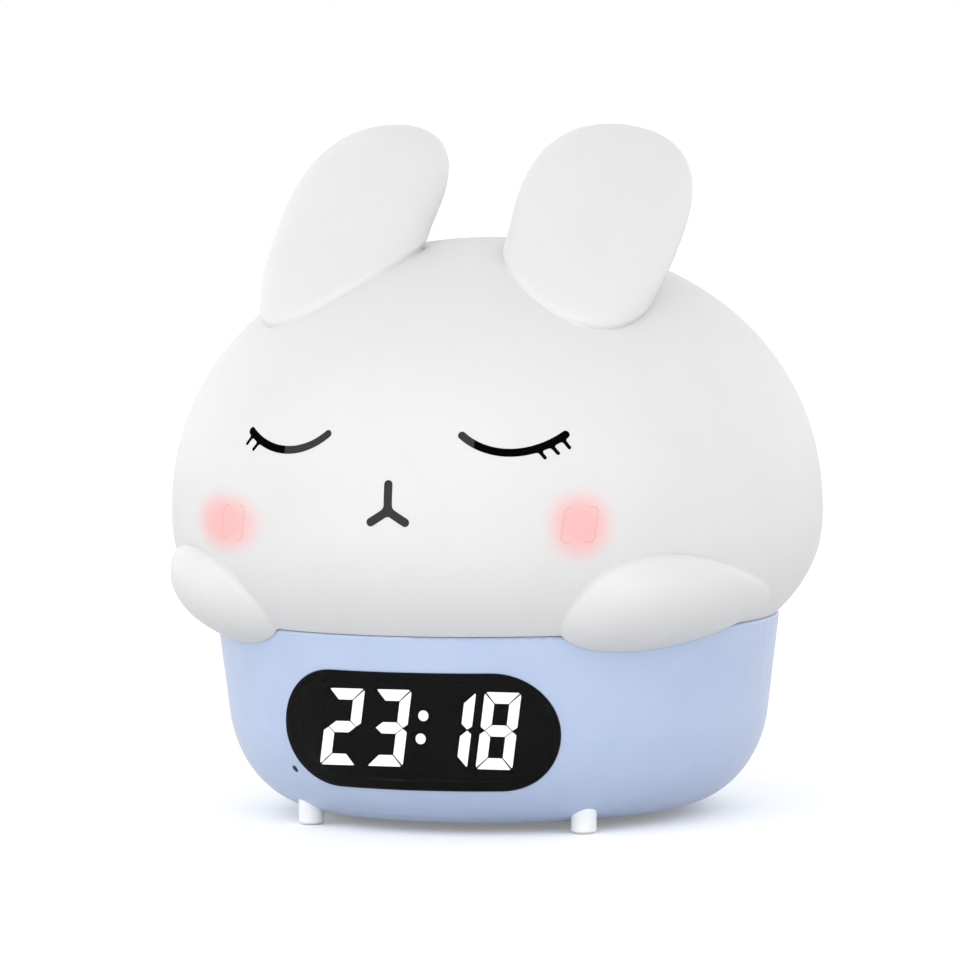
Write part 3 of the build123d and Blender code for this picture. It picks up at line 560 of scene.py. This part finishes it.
# =====================================================================
# materials
# =====================================================================
def lin(c):
    c = c / 255
    return c / 12.92 if c <= 0.04045 else ((c + 0.055) / 1.055) ** 2.4


def rgb(r, g, b):
    return (lin(r), lin(g), lin(b), 1.0)


class Mat:
    def __init__(self, name):
        self.m = bpy.data.materials.new(name)
        self.m.use_nodes = True
        nt = self.m.node_tree
        nt.nodes.clear()
        self.nt = nt
        self.out = nt.nodes.new("ShaderNodeOutputMaterial")
        self.p = nt.nodes.new("ShaderNodeBsdfPrincipled")
        nt.links.new(self.p.outputs[0], self.out.inputs["Surface"])
        self.tc = nt.nodes.new("ShaderNodeTexCoord")
        self.co = self.tc.outputs["Object"]

    def set(self, **kw):
        for k, v in kw.items():
            self.p.inputs[k.replace("_", " ")].default_value = v
        return self

    def put(self, key, v):
        self.p.inputs[key].default_value = v

    def noise(self, scale, detail=3.0, rough=0.55, co=None, dist=0.0):
        n = self.nt.nodes.new("ShaderNodeTexNoise")
        n.inputs["Scale"].default_value = scale
        n.inputs["Detail"].default_value = detail
        n.inputs["Roughness"].default_value = rough
        n.inputs["Distortion"].default_value = dist
        self.nt.links.new(co or self.co, n.inputs["Vector"])
        return n.outputs[0]

    def map(self, v, a, b, c, d, smooth=False):
        n = self.nt.nodes.new("ShaderNodeMapRange")
        n.interpolation_type = "SMOOTHSTEP" if smooth else "LINEAR"
        n.inputs["From Min"].default_value = a
        n.inputs["From Max"].default_value = b
        n.inputs["To Min"].default_value = c
        n.inputs["To Max"].default_value = d
        self.nt.links.new(v, n.inputs["Value"])
        return n.outputs[0]

    def mix(self, fac, a, b):
        n = self.nt.nodes.new("ShaderNodeMix")
        n.data_type = "RGBA"
        self.nt.links.new(fac, n.inputs["Factor"])
        for s, v in (("A", a), ("B", b)):
            i = [x for x in n.inputs if x.name == s and x.type == "RGBA"][0]
            if isinstance(v, tuple):
                i.default_value = v
            else:
                self.nt.links.new(v, i)
        return [o for o in n.outputs if o.type == "RGBA"][0]

    def math(self, op, a, b=None):
        n = self.nt.nodes.new("ShaderNodeMath")
        n.operation = op
        for i, v in enumerate((a, b)):
            if v is None:
                continue
            if isinstance(v, (int, float)):
                n.inputs[i].default_value = v
            else:
                self.nt.links.new(v, n.inputs[i])
        return n.outputs[0]

    def xyz(self, co=None):
        n = self.nt.nodes.new("ShaderNodeSeparateXYZ")
        self.nt.links.new(co or self.co, n.inputs[0])
        return n.outputs

    def color(self, v):
        self.nt.links.new(v, self.p.inputs["Base Color"])
        return self

    def rough(self, v):
        self.nt.links.new(v, self.p.inputs["Roughness"])
        return self

    def bump(self, height, strength=0.2, distance=0.0001, prev=None):
        n = self.nt.nodes.new("ShaderNodeBump")
        n.inputs["Strength"].default_value = strength
        n.inputs["Distance"].default_value = distance
        self.nt.links.new(height, n.inputs["Height"])
        if prev is not None:
            self.nt.links.new(prev, n.inputs["Normal"])
        self.nt.links.new(n.outputs[0], self.p.inputs["Normal"])
        return n.outputs[0]


def two_tone(name, c0, c1, rough, scale=250.0, metallic=0.0, spec=0.5, bump=0.0, bscale=2500.0, bdist=0.00002, coat=0.0, sheen=0.0):
    """Plain moulded, painted or metal finish: mottled colour, uneven gloss, fine grain."""
    m = Mat(name)
    m.put("Metallic", metallic)
    m.put("Specular IOR Level", spec)
    m.put("Coat Weight", coat)
    if sheen:
        m.put("Sheen Weight", sheen)
        m.put("Sheen Roughness", 0.35)
    m.color(m.mix(m.map(m.noise(scale), 0.35, 0.65, 0, 1), c0, c1))
    m.rough(m.map(m.noise(scale * 2.3, 2), 0.3, 0.7, rough[0], rough[1]))
    if bump:
        m.bump(m.noise(bscale, 2), bump, bdist)
    return m.m


MATS = {}
CHEEKS = ((35.1, 61.7, 0.95, 0.97, 0.0), (-38.0, 61.0, 1.6, 0.86, 2.8))


def silicone_head():
    m = Mat("head_silicone")
    m.put("Specular IOR Level", 0.5)
    m.put("IOR", 1.45)
    m.put("Subsurface Weight", 0.1)
    m.put("Subsurface Radius", (0.0016, 0.0015, 0.0014))
    m.put("Subsurface Scale", 1.0)
    white = m.mix(m.map(m.noise(60), 0.3, 0.7, 0, 1), (0.652, 0.652, 0.653, 1), (0.668, 0.668, 0.669, 1))
    # blush on both cheeks: soft ovals, measured round the head and up
    x, y, z = m.xyz()
    wob = m.math("MULTIPLY_ADD", m.noise(120, 2), 0.0012)
    wob.node.inputs[2].default_value = -0.0006
    front = m.map(y, -0.012, -0.004, 1, 0)
    turn = m.math("ARCTAN2", x, m.math("MULTIPLY", y, -1.0))
    blush = marks = None
    for cx, cz, wide, tall, off in CHEEKS:
        cy = float(head_y(np.array(cx), np.array(cz)))
        r = math.hypot(cx, cy)
        u = m.math("MULTIPLY", m.math("SUBTRACT", turn, math.atan2(cx, -cy)), r * MM)
        v = m.math("SUBTRACT", z, cz * MM)
        # faint rounded square in the blush, open in the middle of its top and bottom
        mu = m.math("ABSOLUTE", m.math("SUBTRACT", m.math("SUBTRACT", u, off * MM), m.math("MULTIPLY", v, 0.15)))
        mv = m.math("ABSOLUTE", v)
        qu, qv = (m.math("MAXIMUM", m.math("SUBTRACT", q_, 0.0023), 0.0) for q_ in (mu, mv))
        ed = m.math("SUBTRACT", m.math("SQRT", m.math("ADD", m.math("MULTIPLY", qu, qu), m.math("MULTIPLY", qv, qv))), 0.001)
        mark = m.math("MULTIPLY", m.map(m.math("ABSOLUTE", ed), 0.0001, 0.00036, 1, 0, True), m.map(mu, 0.0010, 0.0019, 0, 1))
        marks = mark if marks is None else m.math("MAXIMUM", marks, mark)
        du = m.math("MULTIPLY", u, 1 / wide)
        dv = m.math("MULTIPLY", v, 1 / tall)
        d = m.math("SQRT", m.math("ADD", m.math("MULTIPLY", du, du), m.math("MULTIPLY", dv, dv)))
        spot = m.map(m.math("ADD", d, wob), 0.0024, 0.0088, 1, 0, True)
        blush = spot if blush is None else m.math("MAXIMUM", blush, spot)
    blush = m.math("MULTIPLY", blush, front)
    marks = m.math("MULTIPLY", m.math("MULTIPLY", marks, front), 0.30)
    m.color(m.mix(marks, m.mix(blush, white, (0.80, 0.43, 0.43, 1)), (0.60, 0.27, 0.27, 1)))
    m.rough(m.map(m.noise(400, 2), 0.3, 0.7, 0.40, 0.48))
    m.bump(m.noise(3500, 2), 0.12, 0.00002)
    return m.m


WIN_HALF, WIN_HH, WIN_Z = 28.18, 11.72, 21.0


def base_plastic():
    """Satin blue, with painted shade: the walls of the opening behind the window pane are painted near-black, as if
    they were in shadow.
    """
    m = Mat("base_plastic")
    m.put("Specular IOR Level", 0.5)
    m.put("Sheen Weight", 0.25)
    m.put("Sheen Roughness", 0.35)
    blue = m.mix(m.map(m.noise(90), 0.35, 0.65, 0, 1), (0.400, 0.488, 0.672, 1), (0.420, 0.508, 0.692, 1))
    x, y, z = m.xyz()
    # painted shade: inside the window opening, towards the front, the blue is mixed to near-black
    u = m.math("MAXIMUM", m.math("SUBTRACT", m.math("ABSOLUTE", x), (WIN_HALF - WIN_HH) * MM), 0.0)
    v = m.math("SUBTRACT", z, WIN_Z * MM)
    d = m.math("SQRT", m.math("ADD", m.math("MULTIPLY", u, u), m.math("MULTIPLY", v, v)))
    inside = m.map(d, (WIN_HH - 0.5) * MM, (WIN_HH - 0.25) * MM, 1, 0)
    front = m.map(y, -0.034, -0.032, 1, 0)
    m.color(m.mix(m.math("MULTIPLY", inside, front), blue, (0.006, 0.006, 0.006, 1)))
    m.rough(m.map(m.noise(207, 2), 0.3, 0.7, 0.38, 0.46))
    m.bump(m.noise(2200, 2), 0.25, 0.00003)
    return m.m


def build_materials():
    W = rgb
    M = MATS
    M["head_silicone"] = silicone_head()
    M["base_plastic"] = base_plastic()
    M["foot_silicone"] = two_tone("foot_silicone", (0.80, 0.80, 0.80, 1), (0.86, 0.86, 0.86, 1), (0.55, 0.7), 300, spec=0.3, bump=0.2)
    M["screw_steel"] = two_tone("screw_steel", (0.52, 0.53, 0.55, 1), (0.62, 0.63, 0.65, 1), (0.25, 0.4), 900, metallic=1.0, bump=0.1, bscale=6000)
    M["black_tape"] = two_tone("black_tape", (0.008, 0.008, 0.008, 1), (0.014, 0.014, 0.014, 1), (0.6, 0.75), 500, bump=0.2)
    M["display_black"] = two_tone("display_black", (0.005, 0.005, 0.005, 1), (0.009, 0.009, 0.009, 1), (0.6, 0.75), 500, spec=0.2, bump=0.1)
    M["bars_dark"] = two_tone("bars_dark", (0.006, 0.006, 0.006, 1), (0.010, 0.010, 0.010, 1), (0.5, 0.6), 700, spec=0.2)
    M["circuit_board"] = two_tone("circuit_board", (0.012, 0.12, 0.045, 1), (0.022, 0.17, 0.07, 1), (0.28, 0.4), 420, bump=0.15, bscale=1500)
    M["white_board"] = two_tone("white_board", (0.80, 0.81, 0.80, 1), (0.88, 0.88, 0.87, 1), (0.3, 0.42), 420, bump=0.1, bscale=1500)
    M["black_rubber"] = two_tone("black_rubber", (0.012, 0.012, 0.012, 1), (0.022, 0.022, 0.022, 1), (0.65, 0.8), 600, bump=0.25)
    M["tin_metal"] = two_tone("tin_metal", (0.64, 0.65, 0.66, 1), (0.74, 0.75, 0.76, 1), (0.22, 0.36), 800, metallic=1.0, bump=0.08)
    M["switch_black"] = two_tone("switch_black", (0.016, 0.016, 0.018, 1), (0.028, 0.028, 0.030, 1), (0.35, 0.48), 700, bump=0.15)
    M["socket_steel"] = two_tone("socket_steel", (0.58, 0.59, 0.61, 1), (0.66, 0.67, 0.69, 1), (0.2, 0.32), 900, metallic=1.0)
    M["cell_wrap"] = two_tone("cell_wrap", (0.035, 0.12, 0.36, 1), (0.06, 0.17, 0.44, 1), (0.2, 0.3), 150, coat=0.3)
    M["foam_black"] = two_tone("foam_black", (0.014, 0.014, 0.014, 1), (0.03, 0.03, 0.03, 1), (0.85, 0.95), 900, spec=0.2, bump=0.8, bscale=1800, bdist=0.0002)
    M["speaker_steel"] = two_tone("speaker_steel", (0.28, 0.29, 0.31, 1), (0.36, 0.37, 0.39, 1), (0.35, 0.5), 600, metallic=0.8)
    M["speaker_paper"] = two_tone("speaker_paper", (0.022, 0.022, 0.024, 1), (0.04, 0.04, 0.042, 1), (0.7, 0.85), 900, bump=0.4, bscale=1500, bdist=0.0001)
    M["chip_black"] = two_tone("chip_black", (0.014, 0.014, 0.014, 1), (0.024, 0.024, 0.024, 1), (0.4, 0.55), 900, bump=0.15)
    M["connector_white"] = two_tone("connector_white", (0.80, 0.77, 0.69, 1), (0.86, 0.84, 0.77, 1), (0.4, 0.5), 500)
    M["wire_red"] = two_tone("wire_red", (0.52, 0.015, 0.015, 1), (0.64, 0.025, 0.022, 1), (0.35, 0.45), 500)
    M["wire_black"] = two_tone("wire_black", (0.014, 0.014, 0.014, 1), (0.026, 0.026, 0.026, 1), (0.35, 0.45), 500)
    M["wire_white"] = two_tone("wire_white", (0.80, 0.80, 0.80, 1), (0.87, 0.87, 0.87, 1), (0.35, 0.45), 500)
    M["ribbon_grey"] = two_tone("ribbon_grey", (0.42, 0.42, 0.45, 1), (0.55, 0.55, 0.57, 1), (0.4, 0.5), 700)
    M["white_plastic"] = two_tone("white_plastic", (0.82, 0.82, 0.82, 1), (0.87, 0.87, 0.87, 1), (0.4, 0.5), 200, bump=0.15)
    M["led_white"] = two_tone("led_white", (0.90, 0.86, 0.55, 1), (0.95, 0.92, 0.68, 1), (0.3, 0.4), 900)
    M["key_plastic"] = two_tone("key_plastic", (0.83, 0.835, 0.84, 1), (0.88, 0.885, 0.89, 1), (0.4, 0.5), 300, bump=0.2, bscale=2200)
    # milky diffuser
    m = Mat("milky_plastic")
    m.put("Subsurface Weight", 0.4)
    m.put("Subsurface Radius", (0.006, 0.006, 0.006))
    m.put("Subsurface Scale", 1.0)
    m.color(m.mix(m.map(m.noise(80), 0.35, 0.65, 0, 1), (0.88, 0.88, 0.87, 1), (0.93, 0.93, 0.92, 1)))
    m.rough(m.map(m.noise(500, 2), 0.3, 0.7, 0.35, 0.45))
    M["milky_plastic"] = m.m
    # smoked pane
    m = Mat("smoked_window")
    m.put("Alpha", 0.72)
    m.put("IOR", 1.46)
    m.put("Specular IOR Level", 0.06)
    m.color(m.mix(m.map(m.noise(150), 0.35, 0.65, 0, 1), (0.0072, 0.0072, 0.0070, 1), (0.0080, 0.0080, 0.0078, 1)))
    m.rough(m.map(m.noise(700, 2), 0.3, 0.7, 0.05, 0.09))
    M["smoked_window"] = m.m
    # lit bars
    m = Mat("bars_lit")
    m.put("Roughness", 0.5)
    m.put("Base Color", (0.9, 0.92, 0.95, 1))
    m.put("Emission Strength", 15.5)
    e = m.mix(m.map(m.noise(900), 0.35, 0.65, 0, 1), (0.97, 0.985, 1.0, 1), (1.0, 1.0, 1.0, 1))
    m.nt.links.new(e, m.p.inputs["Emission Color"])
    m.color(e)
    M["bars_lit"] = m.m
    # face ink: black, greyer over the middle of the face
    m = Mat("face_ink")
    x, y, z = m.xyz()
    a = m.map(x, -0.02325, -0.02295, 0, 1, True)
    b = m.map(x, 0.01588, 0.01612, 1, 0, True)
    mid = m.math("MULTIPLY", a, b)
    dark = m.mix(m.noise(1500), (0.0014, 0.0014, 0.0014, 1), (0.0024, 0.0024, 0.0024, 1))
    grey = m.mix(m.noise(1500), (0.038, 0.038, 0.038, 1), (0.043, 0.043, 0.043, 1))
    m.color(m.mix(mid, dark, grey))
    m.put("Specular IOR Level", 0.0)
    m.rough(m.map(m.noise(900, 2), 0.3, 0.7, 0.65, 0.8))
    M["face_ink"] = m.m


build_materials()
for name, ob in NODES.items():
    ob.data.materials.clear()
    ob.data.materials.append(MATS[SLOT_OF[name]])

# =====================================================================
# head and face
# =====================================================================
head = head_mesh(MATS["head_silicone"])
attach(head, "base")
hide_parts("head_skin")

arc_c, arc_r = (22.75, 90.0), 14.5
a0 = math.atan2(78.8 - arc_c[1], 13.6 - arc_c[0])
a1 = math.atan2(78.7 - arc_c[1], 31.9 - arc_c[0])
arc = [(arc_c[0] + arc_r * math.cos(a0 + (a1 - a0) * i / 40), arc_c[1] + arc_r * math.sin(a0 + (a1 - a0) * i / 40)) for i in range(41)]
lashes = [((31.45, 77.9), (32.75, 76.3)), ((29.5, 76.9), (30.95, 75.28)), ((27.6, 75.9), (28.76, 74.5))]
for name, s in (("eye_right", 1), ("eye_left", -1)):
    lines = [stroke([(s * x_, z_) for x_, z_ in arc], 0.775)]
    for l_ in lashes[: 3 if s > 0 else 2]:
        n_ = 5
        lines.append(stroke([(s * (l_[0][0] + (l_[1][0] - l_[0][0]) * t / n_), l_[0][1] + (l_[1][1] - l_[0][1]) * t / n_) for t in range(n_ + 1)], 0.36))
    ob = ink(name, lines, 0.16, 0.55, MATS["face_ink"])
    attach(ob, "base")
    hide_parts("face_print")
nose = [stroke([(0, 69.55), (0, 67.9), (0, 66.2), (0, 64.5)], 0.83),
        stroke([(0, 64.5), (1.735, 63.4), (3.47, 62.33)], 0.83),
        stroke([(0, 64.5), (-1.735, 63.4), (-3.47, 62.33)], 0.83)]
ob = ink("nose", nose, 0.16, 0.5, MATS["face_ink"])
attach(ob, "base")
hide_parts("face_print")


# acoustic mesh: a dark disc just inside the sound port, square to the surface
KNEE_Z, KNEE_A, KNEE_N, BASE_BOT = 20.3, 15.5, 2.06, 1.60
PORT_X, PORT_Z = -27.41, 12.0
t_ = (KNEE_Z - PORT_Z) / (KNEE_Z - BASE_BOT)
r_ = BASE_R - DRAFT * (BASE_TOP - PORT_Z) - KNEE_A * (1 - (1 - t_ ** KNEE_N) ** (1 / KNEE_N))
s_ = DRAFT + KNEE_A / (KNEE_Z - BASE_BOT) * t_ ** (KNEE_N - 1) * (1 - t_ ** KNEE_N) ** (1 / KNEE_N - 1)
at_ = Vector((PORT_X, -math.sqrt(r_ * r_ - PORT_X ** 2), PORT_Z))
n_ = Vector((at_.x / r_, at_.y / r_, -s_)).normalized()
u_ = n_.cross(Vector((0, 0, 1))).normalized()
v_ = n_.cross(u_)
N_ = 24
rims = [[tuple(at_ - n_ * deep + (u_ * math.cos(2 * math.pi * i / N_) + v_ * math.sin(2 * math.pi * i / N_)) * 0.79) for i in range(N_)] for deep in (0.16, 0.46)]
faces_ = [list(range(N_))[::-1], list(range(N_, 2 * N_))] + [[i, (i + 1) % N_, N_ + (i + 1) % N_, N_ + i] for i in range(N_)]
ob = new_mesh("port_mesh", rims[0] + rims[1], faces_, MATS["black_rubber"], smooth=False)
ob.data.update()
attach(ob, "base")

# =====================================================================
# stage: floor, light, camera
# =====================================================================
SCREENS = (((0, -1, 0), 1.92, 1), ((0, -1, 0), 0.45, 6), ((-1, 0, 0), 0.75, 1), ((1, 0, 0), 0.87, 1),((0, 1, 0), 1.18, 1), ((0, 0, 1), 0.06, 1),
           ((-0.958, 0.287, 0), 0.9, 8), ((0.60, 0.80, 0), 0.5, 8))
FLOOR_GLOW, FLOOR_BOUNCE = 0.20, 0.82


def stage():
    bpy.ops.mesh.primitive_plane_add(size=60, location=(0, 0, -0.0002))
    floor = bpy.context.object
    floor.name = "floor"
    m = Mat("floor_pale")
    # the floor is lit like the backdrop for the eye and throws less light back up
    seen = m.nt.nodes.new("ShaderNodeLightPath").outputs["Is Camera Ray"]
    pale = m.mix(m.map(m.noise(3), 0.3, 0.7, 0, 1), (0.90, 0.90, 0.90, 1), (0.915, 0.915, 0.915, 1))
    m.color(m.mix(seen, (FLOOR_BOUNCE, FLOOR_BOUNCE, FLOOR_BOUNCE, 1), pale))
    m.rough(m.map(m.noise(5, 2), 0.3, 0.7, 0.75, 0.9))
    m.put("Specular IOR Level", 0.0)
    m.put("Emission Color", (1, 1, 1, 1))
    m.nt.links.new(m.math("MULTIPLY", seen, FLOOR_GLOW), m.p.inputs["Emission Strength"])
    # seen from underneath the floor is clear, so that the underside can be looked at
    back = m.nt.nodes.new("ShaderNodeNewGeometry").outputs["Backfacing"]
    clear = m.nt.nodes.new("ShaderNodeBsdfTransparent")
    either = m.nt.nodes.new("ShaderNodeMixShader")
    m.nt.links.new(back, either.inputs[0])
    m.nt.links.new(m.p.outputs[0], either.inputs[1])
    m.nt.links.new(clear.outputs[0], either.inputs[2])
    m.nt.links.new(either.outputs[0], m.out.inputs["Surface"])
    floor.data.materials.append(m.m)

    # soft light from large screens all round, and a plain white backdrop
    w = bpy.data.worlds.new("studio")
    bpy.context.scene.world = w
    w.use_nodes = True
    nt = w.node_tree
    bg = nt.nodes["Background"]
    bg.inputs[0].default_value = (1, 1, 1, 1)
    tc = nt.nodes.new("ShaderNodeTexCoord")
    total = None
    for axis, power, narrow in SCREENS:
        d = nt.nodes.new("ShaderNodeVectorMath")
        d.operation = "DOT_PRODUCT"
        d.inputs[1].default_value = axis
        nt.links.new(tc.outputs["Generated"], d.inputs[0])
        a = nt.nodes.new("ShaderNodeMath")
        a.operation = "MAXIMUM"
        a.inputs[1].default_value = 0.0
        nt.links.new(d.outputs["Value"], a.inputs[0])
        if narrow > 1:
            wide = a
            a = nt.nodes.new("ShaderNodeMath")
            a.operation = "POWER"
            a.inputs[1].default_value = narrow
            nt.links.new(wide.outputs[0], a.inputs[0])
        b = nt.nodes.new("ShaderNodeMath")
        b.operation = "MULTIPLY_ADD"
        b.inputs[1].default_value = power
        b.inputs[2].default_value = 0.0
        nt.links.new(a.outputs[0], b.inputs[0])
        if total is not None:
            nt.links.new(total, b.inputs[2])
        total = b.outputs[0]
    lp = nt.nodes.new("ShaderNodeLightPath")
    pick = nt.nodes.new("ShaderNodeMix")
    pick.data_type = "FLOAT"
    nt.links.new(lp.outputs["Is Camera Ray"], pick.inputs["Factor"])
    nt.links.new(total, pick.inputs["A"])
    pick.inputs["B"].default_value = 1.0
    nt.links.new(pick.outputs["Result"], bg.inputs[1])


stage()

cam = bpy.data.cameras.new("camera")
cam.lens = 231.483
cam.sensor_width = 36.0
cam.sensor_fit = "HORIZONTAL"
cam.clip_start = 0.05
cam.clip_end = 200.0
cam_ob = bpy.data.objects.new("camera", cam)
bpy.context.scene.collection.objects.link(cam_ob)
cx_, cy_, cz_ = (0.946241, 0.323353, -0.008443), (-0.014067, 0.067215, 0.997639), (0.323157, -0.943888, 0.068150)
cam_ob.matrix_world = Matrix((
    (cx_[0], cy_[0], cz_[0], 0.395728),
    (cx_[1], cy_[1], cz_[1], -1.166413),
    (cx_[2], cy_[2], cz_[2], 0.150210),
    (0, 0, 0, 1)))
bpy.context.scene.camera = cam_ob
vs = bpy.context.scene.view_settings
vs.view_transform = "Standard"
vs.look = "None"
vs.exposure = 0.0
vs.gamma = 1.0
